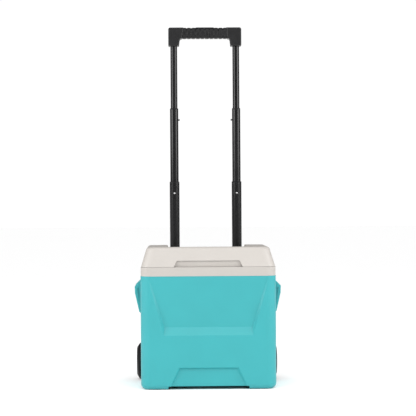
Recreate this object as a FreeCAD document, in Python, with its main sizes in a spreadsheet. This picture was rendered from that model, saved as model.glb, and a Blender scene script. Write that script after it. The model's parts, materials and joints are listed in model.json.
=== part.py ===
import FreeCAD, Part
import math
import os
import re
import Sketcher

# A hard-sided cooler on wheels with a three-stage telescopic pull handle.
# Millimetres. Origin on the ground, under the middle of the whole object:
# +X to the right seen from the front, +Y to the back, +Z up.

DIMENSIONS = {
    # whole object
    "overall_depth": 286,
    "past": 10,
    # screws
    "head_radius": 3.6,
    "head_height": 2.6,
    "head_slope": 1.4,
    "shank_radius": 1.75,
    "hinge_screw": 14,
    "hinge_screw_drop": 12,
    "hinge_screw_spread": 14,
    "bracket_screw": 24,
    "top_screw_drop": 38,
    "low_screw_rise": 8,
    "grip_screw": 9,
    # body
    "body_width": 339,
    "body_depth": 260,
    "shell_top": 282.5,
    "rim_top": 305,
    "body_corner": 26,
    "bottom_round": 14,
    "wall": 2.5,
    "floor_gap": 8.5,
    "runner_inner": 101,
    "foot_length": 75,
    "foot_relief": 2.5,
    "panel_top_half": 152,
    "panel_low_half": 117,
    "panel_foot_half": 111,
    "panel_top_depth": 0.8,
    "panel_low_depth": 8.5,
    "panel_ledge": 155.5,
    "panel_foot": 135,
    "panel_foot_depth": 0.05,
    "panel_draft": 7,
    "ledge_round": 3,
    "notch_foot_half": 97,
    "notch_top_half": 70,
    "notch_height": 51,
    "notch_depth": 5.5,
    "notch_draft": 4,
    "notch_edge": 1,
    "notch_inner_round": 1.5,
    "back_recess_half": 105,
    "back_recess_depth": 7,
    # scoop handles on the sides
    "scoop_reach": 16,
    "scoop_top": 270.5,
    "scoop_lip": 233,
    "scoop_foot": 185,
    "scoop_half_length": 62,
    "scoop_thickness": 4,
    "scoop_sink": 12,
    "scoop_foot_inset": 11,
    "scoop_foot_rise": 6,
    "scoop_lip_inset": 0.7,
    "scoop_lip_rise": 4,
    "scoop_round": 4,
    "scoop_edge": 2,
    "gusset_relief": 2,
    "gusset_drop": 20.5,
    "gusset_inner": 3.5,
    "gusset_outer": 6.5,
    "gusset_foot_rise": 30,
    # liner and rim
    "liner_wall": 2,
    "rim_inset": 0.5,
    "rim_round": 1.2,
    "tub_half": 147,
    "tub_front_gap": 22,
    "tub_back_gap": 25,
    "tub_floor": 32,
    "tub_draft": 4,
    "tub_corner": 18,
    "hump_half": 124,
    "hump_gap": 12,
    # lid
    "seam": 0.5,
    "lid_top": 354.5,
    "lid_wall": 3,
    "lid_inset": 1.4,
    "lid_slope": 14.5,
    "lid_back_slope": 1.5,
    "lid_edge_round": 9,
    "lid_corner": 25,
    "tray_half": 100,
    "tray_depth": 8,
    "tray_front": 96,
    "tray_draft": 3,
    "rear_notch_extra": 2,
    "heel_rise": 1.5,
    "notch_wall": 107,
    "finger_half": 86.5,
    "finger_draft": 8,
    "finger_height": 15.5,
    "finger_depth": 8,
    "finger_round": 4,
    "plug_gap": 2.7,
    "plug_depth": 9,
    # lid hinge
    "hinge_back": 107,
    "hinge_height": 346.5,
    "hinge_pin": 2.5,
    "hinge_eye": 6.5,
    "hinge_x": 131,
    "hinge_width": 20,
    "hinge_gap": 1,
    "hinge_plate_half": 21,
    "hinge_plate": 4,
    "hinge_plate_drop": 22,
    "hinge_plate_gap": 6,
    "hinge_arm_slope": 4,
    "running_gap": 0.05,
    # telescopic handle
    "tube_x": 83,
    "grip_depth": 32,
    "housing_radius": 15,
    "lower_radius": 13,
    "middle_radius": 11,
    "upper_radius": 9,
    "tube_wall": 1.2,
    "tube_edge": 1,
    "tube_insert": 3,
    "housing_foot": 58,
    "housing_head": 320,
    "lower_head": 523,
    "middle_head": 719,
    "sleeve_length": 22,
    "ring_height": 4,
    "slide_gap": 0.1,
    "foot_flange": 13,
    "foot_spigot": 8,
    "lock_drop": 5,
    "lock_radius": 2.4,
    "lock_reach": 4,
    "lock_start": 1.2,
    "lock_tip": 1,
    "lock_back": 2,
    "coil_gap": 0.5,
    "coil_wire": 0.6,
    "stud_reach": 1.2,
    "top_bracket_drop": 48,
    "low_bracket_drop": 6,
    "low_bracket_rise": 22,
    "bracket_wall": 2.5,
    "bracket_reach": 12,
    "web_depth": 12,
    "web_gap": 4,
    "pin_room_start": 10,
    # grip
    "grip_bottom": 885,
    "grip_top": 934,
    "grip_half": 97.5,
    "block_width": 31,
    "block_draft": 2.5,
    "bar_bottom": 905,
    "sleeve_skin": 3,
    "ridge_pitch": 12.8,
    "ridge_count": 10,
    "ridge_round": 1.8,
    "sleeve_round": 9,
    "cap_half": 57.5,
    "cap_foot_half": 60.5,
    "cap_inner_round": 5.5,
    "cap_round": 5.5,
    "cap_edge": 2.4,
    "button_half": 28.5,
    "button_depth": 16,
    "button_proud": 2.5,
    "button_round": 5,
    "button_edge": 1.5,
    "button_gap": 0.3,
    "button_foot": 1.5,
    "button_travel": 3,
    "stem_radius": 3,
    "spring_radius": 4.6,
    "spring_wire": 1,
    "spring_height": 6.5,
    "spring_drop": 8,
    "well_depth": 5,
    "yoke_rise": 10,
    "yoke_height": 6,
    "yoke_half": 4,
    "yoke_gap": 0.5,
    "rod_radius": 2,
    "rod_gap": 0.5,
    # wheels
    "wheel_radius": 48,
    "wheel_inner": 152.5,
    "wheel_outer": 184.8,
    "axle_back": 95,
    "axle_radius": 4,
    "axle_depth": 17,
    "axle_tip": 1,
    "axle_end_gap": 0.3,
    "boss_wall": 6,
    "hub_radius": 9,
    "hub_start": 2,
    "hub_end": 27,
    "washer_height": 1.5,
    "cap_height": 4.4,
    "cap_roof": 0.8,
    "spoke_inner": 12,
    "spoke_outer": 17,
    "window_ring": 23,
    "window_radius": 7,
    "tread_depth": 7,
    "groove_depth": 1.2,
    "groove_half": 2,
    "first_groove": 12.5,
    "second_groove": 20.5,
    "well_radius": 52.5,
    "well_wall": 148,
}

SIDES = (("left", -1), ("right", 1))

FRONT = "(-overall_depth / 2)"
BACK = "(body_depth - overall_depth / 2)"
MIDDLE = "((body_depth - overall_depth) / 2)"
HALF = "(body_width / 2)"
TUBE_Y = "(overall_depth / 2 - grip_depth / 2)"
LID_BASE = "(rim_top + seam)"
LOWEST_PIN = "(housing_head - ring_height - sleeve_length - lock_drop)"

document = FreeCAD.newDocument("cooler")
nodes = []


# ---------------------------------------------------------------- the sheet
def make_sheet():
    """The driving dimensions, one named cell each."""
    sheet = document.addObject("Spreadsheet::Sheet", "Dims")
    for row, (name, size) in enumerate(DIMENSIONS.items(), 1):
        sheet.set(f"A{row}", name)
        sheet.set(f"B{row}", str(size))
        sheet.setAlias(f"B{row}", name)
    document.recompute()


def formula(text):
    """The text with every dimension's name written as a cell of the sheet."""
    def cell(match):
        word = match.group()
        return f"Dims.{word}" if word in DIMENSIONS else word
    return re.sub(r"[a-z_]+", cell, str(text))


def bind(thing, name, text):
    thing.setExpression(name, formula(text))


def place(thing, x=0, y=0, z=0):
    for letter, text in (("x", x), ("y", y), ("z", z)):
        bind(thing, f"Placement.Base.{letter}", text)


# ------------------------------------------------------------- sketch tools
def new_body(label):
    body = document.addObject("PartDesign::Body", label)
    body.Label = label
    return body


def origin_part(body, role):
    """One of the body's own origin planes or axes, such as XY_Plane."""
    return next(part for part in body.Origin.OriginFeatures if part.Role == role)


def new_sketch(body, plane, offset):
    sketch = body.newObject("Sketcher::SketchObject", f"{body.Name}_sketch")
    sketch.AttachmentSupport = [(origin_part(body, plane), "")]
    sketch.MapMode = "FlatFace"
    bind(sketch, ".AttachmentOffset.Base.z", offset)
    return sketch


def pin_point(sketch, shape, point, x, y):
    """Hold one point of a shape at formulas of the sheet."""
    spot = sketch.getPoint(shape, point)
    for kind, text, now in (("DistanceX", x, spot.x), ("DistanceY", y, spot.y)):
        number = sketch.addConstraint(Sketcher.Constraint(kind, -1, 1, shape, point, now))
        bind(sketch, f"Constraints[{number}]", text)


def outline(body, plane, corners, offset=0):
    """A closed sketch of straight sides through the given corners."""
    sketch = new_sketch(body, plane, offset)
    count = len(corners)
    turn = 2 * math.pi / count
    start = [FreeCAD.Vector(90 * math.cos(turn * k), 80 * math.sin(turn * k), 0) for k in range(count)]
    for k in range(count):
        sketch.addGeometry(Part.LineSegment(start[k], start[(k + 1) % count]), False)
    for k in range(count):
        sketch.addConstraint(Sketcher.Constraint("Coincident", k, 2, (k + 1) % count, 1))
    for k, (x, y) in enumerate(corners):
        pin_point(sketch, k, 1, x, y)
    return sketch


def circle(body, plane, x, y, radius, offset=0):
    sketch = new_sketch(body, plane, offset)
    ring = Part.Circle(FreeCAD.Vector(5, 5, 0), FreeCAD.Vector(0, 0, 1), 3)
    sketch.addGeometry(ring, False)
    pin_point(sketch, 0, 3, x, y)
    number = sketch.addConstraint(Sketcher.Constraint("Radius", 0, 3))
    bind(sketch, f"Constraints[{number}]", radius)
    return sketch


def rectangle(left, right, low, high):
    return [(left, low), (right, low), (right, high), (left, high)]


# ------------------------------------------------------------ feature tools
def pad(body, sketch, length, both_ways=False, reverse=False):
    feature = body.newObject("PartDesign::Pad", f"{body.Name}_pad")
    feature.Profile = sketch
    feature.SideType = "Symmetric" if both_ways else "One side"
    feature.Reversed = reverse
    bind(feature, "Length", length)
    return feature


def pocket(body, sketch, length, both_ways=False, reverse=False):
    feature = body.newObject("PartDesign::Pocket", f"{body.Name}_pocket")
    feature.Profile = sketch
    feature.SideType = "Symmetric" if both_ways else "One side"
    feature.Reversed = reverse
    bind(feature, "Length", length)
    return feature


def loft(body, sections, add=True):
    kind = "AdditiveLoft" if add else "SubtractiveLoft"
    feature = body.newObject(f"PartDesign::{kind}", f"{body.Name}_loft")
    feature.Profile = sections[0]
    feature.Sections = sections[1:]
    feature.Ruled = True
    return feature


def frustum(body, low, high, foot, head):
    """A block between two heights; foot and head give its half width, front and back there."""
    (foot_half, foot_front, foot_back) = foot
    (head_half, head_front, head_back) = head
    far = "2 * overall_depth"
    sides = [(f"-{foot_half}", low), (foot_half, low), (head_half, high), (f"-{head_half}", high)]
    pad(body, outline(body, "XZ_Plane", sides), far, both_ways=True)
    front = [(f"-{far}", low), (foot_front, low), (head_front, high), (f"-{far}", high)]
    pocket(body, outline(body, "YZ_Plane", front), far, both_ways=True)
    back = [(far, low), (foot_back, low), (head_back, high), (far, high)]
    return pocket(body, outline(body, "YZ_Plane", back), far, both_ways=True)


def rounded(body, base, test, radius):
    """Round the edges of a feature that pass the test."""
    document.recompute()
    names = [f"Edge{n}" for n, edge in enumerate(base.Shape.Edges, 1) if test(edge)]
    if not names:
        raise ValueError(f"no edges to round on {body.Label}")
    feature = body.newObject("PartDesign::Fillet", f"{body.Name}_fillet")
    feature.Base = (base, names)
    bind(feature, "Radius", radius)
    return feature


def size_of(name):
    return document.Dims.get(name)


def direction(edge):
    ends = edge.Vertexes
    if len(ends) < 2:
        return FreeCAD.Vector(0, 0, 0)
    return (ends[-1].Point - ends[0].Point).normalize()


def upright(edge):
    """True for an edge that mostly runs up and down."""
    return abs(direction(edge).z) > 0.8


def along_y(edge):
    return abs(direction(edge).y) > 0.99


def at_height(height):
    """A test for edges that lie level at this height."""
    def test(edge):
        box = edge.BoundBox
        return abs(box.ZMin - height) < 0.01 and abs(box.ZMax - height) < 0.01
    return test


def along_x_at(y, z):
    """A test for edges that run along X through this point."""
    def test(edge):
        centre = edge.BoundBox.Center
        near = math.hypot(centre.y - y, centre.z - z) < 0.05
        return near and abs(direction(edge).x) > 0.99
    return test


# ---------------------------------------------------------- primitive tools
TURNS = {
    "z": FreeCAD.Rotation(),
    "x": FreeCAD.Rotation(FreeCAD.Vector(0, 1, 0), 90),
    "-x": FreeCAD.Rotation(FreeCAD.Vector(0, 1, 0), -90),
    "y": FreeCAD.Rotation(FreeCAD.Vector(1, 0, 0), -90),
    "-y": FreeCAD.Rotation(FreeCAD.Vector(1, 0, 0), 90),
}


def cylinder(label, radius, height, x=0, y=0, z=0, axis="z"):
    """A cylinder that starts at the point and runs along the axis."""
    thing = document.addObject("Part::Cylinder", label)
    bind(thing, "Radius", radius)
    bind(thing, "Height", height)
    thing.Placement = FreeCAD.Placement(FreeCAD.Vector(), TURNS[axis])
    place(thing, x, y, z)
    return thing


def box(label, x, y, z):
    """A box between the pairs of formulas for each direction."""
    thing = document.addObject("Part::Box", label)
    for side, (low, high) in (("Length", x), ("Width", y), ("Height", z)):
        bind(thing, side, f"({high}) - ({low})")
    place(thing, x[0], y[0], z[0])
    return thing


def join(label, things):
    whole = document.addObject("Part::MultiFuse", label)
    whole.Shapes = things
    return whole


def cut(label, base, tools):
    tool = tools[0] if len(tools) == 1 else join(f"{label}_cutters", tools)
    whole = document.addObject("Part::Cut", label)
    whole.Base = base
    whole.Tool = tool
    return whole


def turned(label, corners, x=0, y=0, z=0, axis="z"):
    """A turned piece: corners are (radius, distance along the axis)."""
    body = new_body(label)
    sketch = outline(body, "XZ_Plane", corners)
    feature = body.newObject("PartDesign::Revolution", f"{label}_turn")
    feature.Profile = sketch
    feature.ReferenceAxis = (origin_part(body, "Z_Axis"), [""])
    feature.Angle = 360
    body.Placement = FreeCAD.Placement(FreeCAD.Vector(), TURNS[axis])
    place(body, x, y, z)
    return body


def group(label, things):
    """Several equal separate solids that share one node."""
    whole = document.addObject("Part::Compound", label)
    whole.Links = things
    return whole


def keep(thing):
    """Mark a finished piece to be written to its own file."""
    nodes.append(thing)
    return thing


def side_box(label, sign, x, y, z):
    """A box on one side: x is the pair of distances from the middle plane."""
    near, far = x
    span = (near, far) if sign > 0 else (f"-({far})", f"-({near})")
    return box(label, span, y, z)


def side_cylinder(label, sign, radius, x, y, z):
    """A cylinder along X on one side, from the near to the far distance."""
    near, far = x
    axis = "x" if sign > 0 else "-x"
    return cylinder(label, radius, f"({far}) - ({near})", f"{sign} * ({near})", y, z, axis)


# --------------------------------------------------------------------- body
def wheel_space(label, inset):
    """The room for both wheels: an arch about each axle, open below and behind."""
    pieces = []
    reach = f"(well_radius + {inset})"
    span = (f"well_wall - {inset}", "wheel_outer + past")
    for side, sign in SIDES:
        name = f"{label}_{side}"
        pieces.append(side_cylinder(f"{name}_arch", sign, reach, span, "axle_back", "wheel_radius"))
        pieces.append(side_box(f"{name}_below", sign, span, (f"axle_back - {reach}", f"{BACK} + past"),
                               ("-past", "wheel_radius")))
        pieces.append(side_box(f"{name}_behind", sign, span, ("axle_back", f"{BACK} + past"),
                               ("-past", f"wheel_radius + {reach}")))
    return pieces


def scoop_block(body, sign):
    """One side handle, still solid: sloping top, upright lip, tapering ends."""
    tip = f"{HALF} + scoop_reach"
    corners = [
        (f"{sign} * ({HALF} - 1)", "scoop_foot - 1"),
        (f"{sign} * ({tip} - scoop_foot_inset)", "scoop_foot + scoop_foot_rise"),
        (f"{sign} * ({tip} - scoop_lip_inset)", "scoop_lip + scoop_lip_rise"),
        (f"{sign} * ({tip})", "scoop_top - scoop_reach"),
        (f"{sign} * ({HALF} - 1)", "scoop_top + 1"),
    ]
    sketch = outline(body, "XZ_Plane", corners, f"-{MIDDLE}")
    block = pad(body, sketch, "2 * scoop_half_length", both_ways=True)
    reach = size_of("body_width") / 2 + size_of("scoop_reach")
    block = rounded(body, block, lambda edge: along_y(edge) and sign * edge.BoundBox.Center.x > reach - 0.1,
                    "scoop_round")
    ends = [size_of("body_depth") / 2 - size_of("overall_depth") / 2 + turn * size_of("scoop_half_length")
            for turn in (-1, 1)]

    def end_edge(edge):
        middle = edge.BoundBox.Center
        flat = edge.BoundBox.YLength < 0.01 and min(abs(middle.y - end) for end in ends) < 0.01
        return flat and sign * middle.x > size_of("body_width") / 2
    rounded(body, block, end_edge, "scoop_edge")
    relief = [
        (f"{sign} * ({HALF} + gusset_inner)", "scoop_top - gusset_drop"),
        (f"{sign} * ({tip} - gusset_outer)", "scoop_top - gusset_drop"),
        (f"{sign} * ({HALF} + gusset_inner + 1)", "scoop_foot + gusset_foot_rise"),
    ]
    for turn, inwards in (("-", False), ("+", True)):
        end = f"({MIDDLE} {turn} scoop_half_length)"
        pocket(body, outline(body, "XZ_Plane", relief, f"-{end}"), "gusset_relief", reverse=inwards)


def scoop_room(body, sign, inset):
    """The finger room behind the lip, open below and let into the wall."""
    back = f"({HALF} - scoop_sink - {inset})"
    tip = f"({HALF} + scoop_reach)"
    inner = f"({tip} - scoop_thickness)"
    crown = f"(scoop_top - 1.7 * scoop_thickness + {inset})"
    corners = [
        (f"{sign} * {back}", f"scoop_foot + 20 - {inset}"),
        (f"{sign} * {back}", f"{crown} - 6"),
        (f"{sign} * ({back} + 6)", crown),
        (f"{sign} * ({HALF} + 1)", crown),
        (f"{sign} * {inner}", f"{crown} - 11"),
        (f"{sign} * {inner}", "scoop_lip"),
        (f"{sign} * ({tip} + 2)", "scoop_lip"),
        (f"{sign} * ({tip} + 2)", f"scoop_foot - 2 - {inset}"),
        (f"{sign} * ({HALF} + {inset})", f"scoop_foot - 2 - {inset}"),
    ]
    sketch = outline(body, "XZ_Plane", corners, f"-{MIDDLE}")
    length = f"2 * (scoop_half_length - scoop_thickness + {inset})"
    return pocket(body, sketch, length, both_ways=True)


def sunk_panel(body, inset):
    """The large front panel: it sinks deeper downwards and ends on a sloping ledge."""
    levels = (
        ("panel_top_half", "panel_top_depth", "shell_top + 0.01", 0.5),
        ("panel_low_half", "panel_low_depth", "panel_ledge", 1),
        ("panel_foot_half", "panel_foot_depth", "panel_foot", 0.01),
    )
    sections = []
    for half, depth, height, draft in levels:
        outer = f"({half} + {inset})"
        inner = f"({outer} - panel_draft * {draft})"
        skin = f"{FRONT} + {inset}"
        corners = [
            (f"-{outer}", f"{skin} - 0.02"),
            (outer, f"{skin} - 0.02"),
            (inner, f"{skin} + {depth}"),
            (f"-{inner}", f"{skin} + {depth}"),
        ]
        sections.append(outline(body, "XY_Plane", corners, height))
    return loft(body, sections, add=False)


def lower_notch(body, inset):
    """The trapezoid notch low on the front, with sloping sides."""
    sections = []
    for depth, draft in (("-0.02", "notch_draft"), ("notch_depth", "0")):
        foot = f"(notch_foot_half + {draft} + {inset})"
        top = f"(notch_top_half + {draft} + {inset})"
        height = f"notch_height + {draft} + {inset}"
        corners = [(f"-{foot}", "-1"), (foot, "-1"), (top, height), (f"-{top}", height)]
        sections.append(outline(body, "XZ_Plane", corners, f"-({FRONT} + {inset} + {depth})"))
    return loft(body, sections, add=False)


def ledge_edge(edge):
    """The hollow edge along the top of the front panel's ledge."""
    centre = edge.BoundBox.Center
    return abs(centre.z - size_of("panel_ledge")) < 0.1 and edge.Length > size_of("panel_low_half")


def notch_edge(depth):
    """A test for the notch's three edges at this depth behind the front."""
    def test(edge):
        box = edge.BoundBox
        front = -size_of("overall_depth") / 2 + depth
        low = size_of("bottom_round")
        return abs(box.Center.y - front) < 0.1 and low < box.Center.z < size_of("notch_height") + 5
    return test


def lip_edge(edge):
    """The two long edges round the bottom of a scoop handle's lip."""
    centre = edge.BoundBox.Center
    lip_x = size_of("body_width") / 2 + size_of("scoop_reach") - size_of("scoop_thickness") / 2
    return along_y(edge) and abs(abs(centre.x) - lip_x) < 3 and abs(centre.z - size_of("scoop_lip")) < 0.5


def body_form(label, inset, outside):
    """The body's outer surface, moved in by the inset."""
    body = new_body(label)
    half = f"({HALF} - {inset})"
    plan = rectangle(f"-{half}", half, f"{FRONT} + {inset}", f"{BACK} - {inset}")
    block = pad(body, outline(body, "XY_Plane", plan, inset), f"shell_top - {inset}")
    block = rounded(body, block, upright, f"body_corner - {inset}")
    floor = 0 if outside else size_of("wall")
    rounded(body, block, at_height(floor), f"bottom_round - {inset}")
    sunk_panel(body, inset)
    lower_notch(body, inset)
    channel_half = f"(runner_inner + {inset})"
    channel = rectangle(f"-{channel_half}", channel_half, "-1", f"floor_gap + {inset}")
    pocket(body, outline(body, "XZ_Plane", channel), "2 * overall_depth", both_ways=True)
    relief = rectangle(f"-{HALF}", HALF, f"{FRONT} + foot_length - {inset}", f"{BACK} + 1")
    pocket(body, outline(body, "XY_Plane", relief, f"foot_relief + {inset}"), "9")
    recess_half = f"(back_recess_half + {inset})"
    recess = rectangle(f"-{recess_half}", recess_half, f"{BACK} - back_recess_depth - {inset}", f"{BACK} + 1")
    pocket(body, outline(body, "XY_Plane", recess, "-1"), "shell_top + 2", reverse=True)
    for side, sign in SIDES:
        if outside:
            scoop_block(body, sign)
        scoop_room(body, sign, inset)
    if outside:
        block = rounded(body, body.Tip, ledge_edge, "ledge_round")
        block = rounded(body, block, notch_edge(0), "notch_edge")
        block = rounded(body, block, notch_edge(size_of("notch_depth")), "notch_inner_round")
        rounded(body, block, lip_edge, "scoop_edge / 2")
    return body


def tub_form(label, extra):
    """The cavity of the liner, grown by the extra, with a hump over each wheel."""
    body = new_body(label)
    foot, head = [
        (f"(tub_half - {draft} + {extra})", f"{FRONT} + tub_front_gap + {draft} - {extra}",
         f"{BACK} - tub_back_gap - {draft} + {extra}") for draft in ("tub_draft", 0)]
    block = frustum(body, f"tub_floor - {extra}", "rim_top", foot, head)
    block = rounded(body, block, upright, f"tub_corner + {extra}")
    low = size_of("tub_floor") - (0 if extra == "0" else size_of(extra))
    rounded(body, block, at_height(low), f"tub_corner - 6 + {extra}")
    hump = rectangle(f"axle_back - well_radius - hump_gap + {extra}", f"{BACK} + past", "-1",
                     f"wheel_radius + well_radius + hump_gap - {extra}")
    for side, sign in SIDES:
        sketch = outline(body, "YZ_Plane", hump, f"{sign} * (hump_half + {extra})")
        pocket(body, sketch, "60", reverse=sign > 0)
    return body


def flange_form(label, inset, low, high):
    """The rim band: same plan as the body, a little smaller."""
    body = new_body(label)
    half = f"({HALF} - {inset})"
    plan = rectangle(f"-{half}", half, f"{FRONT} + {inset}", f"{BACK} - {inset}")
    block = pad(body, outline(body, "XY_Plane", plan, low), f"({high}) - ({low})")
    rounded(body, block, upright, f"body_corner - {inset}")
    recess_half = f"(back_recess_half + {inset})"
    recess = rectangle(f"-{recess_half}", recess_half, f"{BACK} - back_recess_depth - {inset}", f"{BACK} + 1")
    cut_back = pocket(body, outline(body, "XY_Plane", recess, f"{low} - 1"), "60", reverse=True)
    if high == "rim_top":
        rounded(body, cut_back, at_height(size_of("rim_top")), "rim_round")
    return body


def screw(label, x, y, z, axis, shank):
    """A pan head screw whose head stands on the point and whose shank runs along the axis."""
    corners = [(0, "-head_height"), ("head_radius - head_slope", "-head_height"),
               ("head_radius", "head_slope - head_height"), ("head_radius", 0),
               ("shank_radius", 0), ("shank_radius", shank), (0, shank)]
    return turned(label, corners, x, y, z, axis)


def make_body():
    """Shell, foam and liner, with everything that is screwed to the back of them."""
    hinge_screws = group("hinge_screws", [
        screw(f"hinge_screw_{side}_{k}", f"{sign} * (hinge_x + {shift} * hinge_screw_spread)",
              f"{BACK} + hinge_plate", "shell_top - hinge_screw_drop", "-y", "hinge_screw")
        for side, sign in SIDES for k, shift in enumerate((-1, 1))])
    web_y = f"{BACK} - back_recess_depth + web_depth"
    levels = (("top", "housing_head - top_screw_drop"), ("low", "housing_foot + low_screw_rise"))
    bracket_screws = group("bracket_screws", [
        screw(f"bracket_screw_{level}_{k}", f"{shift} * tube_x / 2", web_y, height, "-y", "bracket_screw")
        for level, height in levels
        for k, shift in enumerate((-1, 1))])
    fasteners = [hinge_screws, bracket_screws]

    sockets = []
    axle_bosses = []
    for side, sign in SIDES:
        socket = ("well_wall - axle_depth", "well_wall + 1")
        boss = ("well_wall - axle_depth - 1", "well_wall - 1")
        sockets.append(side_cylinder(f"axle_socket_{side}", sign, "axle_radius", socket,
                                     "axle_back", "wheel_radius"))
        axle_bosses.append(side_cylinder(f"axle_boss_{side}", sign, "axle_radius + boss_wall", boss,
                                         "axle_back", "wheel_radius"))

    outer = cut("shell_outer", body_form("shell_outer_form", "0", True), wheel_space("wheel_room", "0"))
    inner = cut("shell_inner", body_form("shell_inner_form", "wall", False),
                wheel_space("wheel_wall", "wall"))
    skin = cut("shell_skin", outer, [inner])
    bossed = join("shell_bossed", [skin] + axle_bosses)
    keep(cut("body_shell", bossed, fasteners + sockets))

    tub_outer = tub_form("tub_outer", "liner_wall")
    cavity = tub_form("tub_cavity", "0")
    flange = flange_form("flange_outer", "rim_inset", "shell_top", "rim_top")
    flange_room = flange_form("flange_room", "(rim_inset + liner_wall)", "shell_top", "rim_top - liner_wall")
    hollow = cut("flange_hollow", flange_room, [tub_outer])
    liner_solid = join("liner_solid", [flange, tub_outer])
    keep(cut("body_liner", liner_solid, [cavity, hollow] + fasteners))

    foam_solid = join("foam_solid", [inner, flange_room])
    keep(cut("body_foam", foam_solid, [tub_outer] + fasteners + axle_bosses))
    keep(hinge_screws)
    keep(bracket_screws)
    return hinge_screws, bracket_screws


# ---------------------------------------------------------------------- lid
def lid_form(label, inset):
    """The lid's outer surface, moved in by the inset; its underside stays open."""
    body = new_body(label)
    foot, head = [
        (f"({HALF} - lid_inset - {slope} * lid_slope - {inset})",
         f"{FRONT} + lid_inset + {slope} * lid_slope + {inset}",
         f"{BACK} - lid_inset - {slope} * lid_back_slope - {inset}") for slope in (0, 1)]
    block = frustum(body, LID_BASE, f"lid_top - {inset}", foot, head)
    block = rounded(body, block, upright, f"lid_corner - {inset}")
    grown = 0 if inset == "0" else size_of(inset)
    rounded(body, block, at_height(size_of("lid_top") - grown), f"lid_edge_round - {inset}")

    tray = []
    for height, spread in ((f"lid_top - tray_depth - {inset}", 0), ("lid_top + 0.01", "tray_draft")):
        half = f"(tray_half + {inset} + {spread})"
        plan = rectangle(f"-{half}", half, f"-(tray_front + {inset} + {spread})", f"{BACK} + past")
        tray.append(outline(body, "XY_Plane", plan, height))
    loft(body, tray, add=False)
    notch_half = f"(tray_half + rear_notch_extra + {inset})"
    notch = rectangle(f"-{notch_half}", notch_half, f"notch_wall - {inset}", f"{BACK} + past")
    pocket(body, outline(body, "XY_Plane", notch, "rim_top - 1"), "90", reverse=True)

    grip = [(f"-(finger_half + {inset})", "rim_top - 1"), (f"finger_half + {inset}", "rim_top - 1"),
            (f"finger_half - finger_draft + {inset}", f"{LID_BASE} + finger_height + {inset}"),
            (f"-(finger_half - finger_draft + {inset})", f"{LID_BASE} + finger_height + {inset}")]
    recess = pocket(body, outline(body, "XZ_Plane", grip, f"-({FRONT} - 1)"),
                    f"finger_depth + lid_inset + 1 + {inset}")
    crown = size_of("rim_top") + size_of("seam") + size_of("finger_height") + grown

    def recess_corner(edge):
        centre = edge.BoundBox.Center
        reach = size_of("finger_half") - size_of("finger_draft") + grown
        return along_y(edge) and abs(centre.z - crown) < 0.1 and abs(abs(centre.x) - reach) < 0.1
    rounded(body, recess, recess_corner, f"finger_round + {inset}")

    for side, sign in SIDES:
        reach = f"(hinge_width / 2 + hinge_gap + {inset})"
        slot = rectangle(f"{sign} * hinge_x - {reach}", f"{sign} * hinge_x + {reach}",
                         f"hinge_back - hinge_eye - 2 * hinge_gap - {inset}", f"{BACK} + past")
        pocket(body, outline(body, "XY_Plane", slot, f"hinge_height - hinge_eye - hinge_gap - {inset}"),
               "40", reverse=True)
    heel = [("hinge_back", "rim_top - 1"), (f"{BACK} + 1", "rim_top - 1"),
            (f"{BACK} + 1", f"{LID_BASE} + heel_rise"), ("hinge_back", LID_BASE)]
    pocket(body, outline(body, "YZ_Plane", heel), "2 * body_width", both_ways=True)
    return body


def make_lid():
    """Lid shell, its foam, the flat liner with its plug, and the two hinge pins."""
    pins = []
    for side, sign in SIDES:
        reach = "(hinge_width / 2 + hinge_gap + lid_wall + 2)"
        span = (f"hinge_x - {reach}", f"hinge_x + {reach}")
        pins.append(side_cylinder(f"hinge_pin_{side}", sign, "hinge_pin", span, "hinge_back", "hinge_height"))
    outer = lid_form("lid_outer", "0")
    inner = lid_form("lid_inner", "lid_wall")
    skin = cut("lid_skin", outer, [inner])
    keep(cut("lid_shell", skin, pins))

    slab = box("lid_slab", (f"-{HALF}", HALF), (FRONT, BACK), (LID_BASE, f"{LID_BASE} + liner_wall"))
    plate = document.addObject("Part::Common", "lid_plate")
    plate.Base = inner
    plate.Tool = slab

    plugs = []
    for label, inset, low, high in (
            ("plug_outer", "0", f"{LID_BASE} - plug_depth", LID_BASE),
            ("plug_room", "liner_wall", f"{LID_BASE} - plug_depth + liner_wall", f"{LID_BASE} + liner_wall")):
        body = new_body(label)
        half = f"(tub_half - plug_gap - {inset})"
        plan = rectangle(f"-{half}", half, f"{FRONT} + tub_front_gap + plug_gap + {inset}",
                         f"{BACK} - tub_back_gap - plug_gap - {inset}")
        block = pad(body, outline(body, "XY_Plane", plan, low), f"({high}) - ({low})")
        rounded(body, block, upright, f"tub_corner - plug_gap - {inset}")
        plugs.append(body)
    plug, plug_room = plugs
    keep(cut("lid_liner", join("lid_liner_solid", [plate, plug]), [plug_room]))
    upper = cut("lid_foam_top", inner, [slab])
    keep(cut("lid_foam", join("lid_foam_solid", [upper, plug_room]), pins))
    for pin in pins:
        keep(pin)


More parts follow.
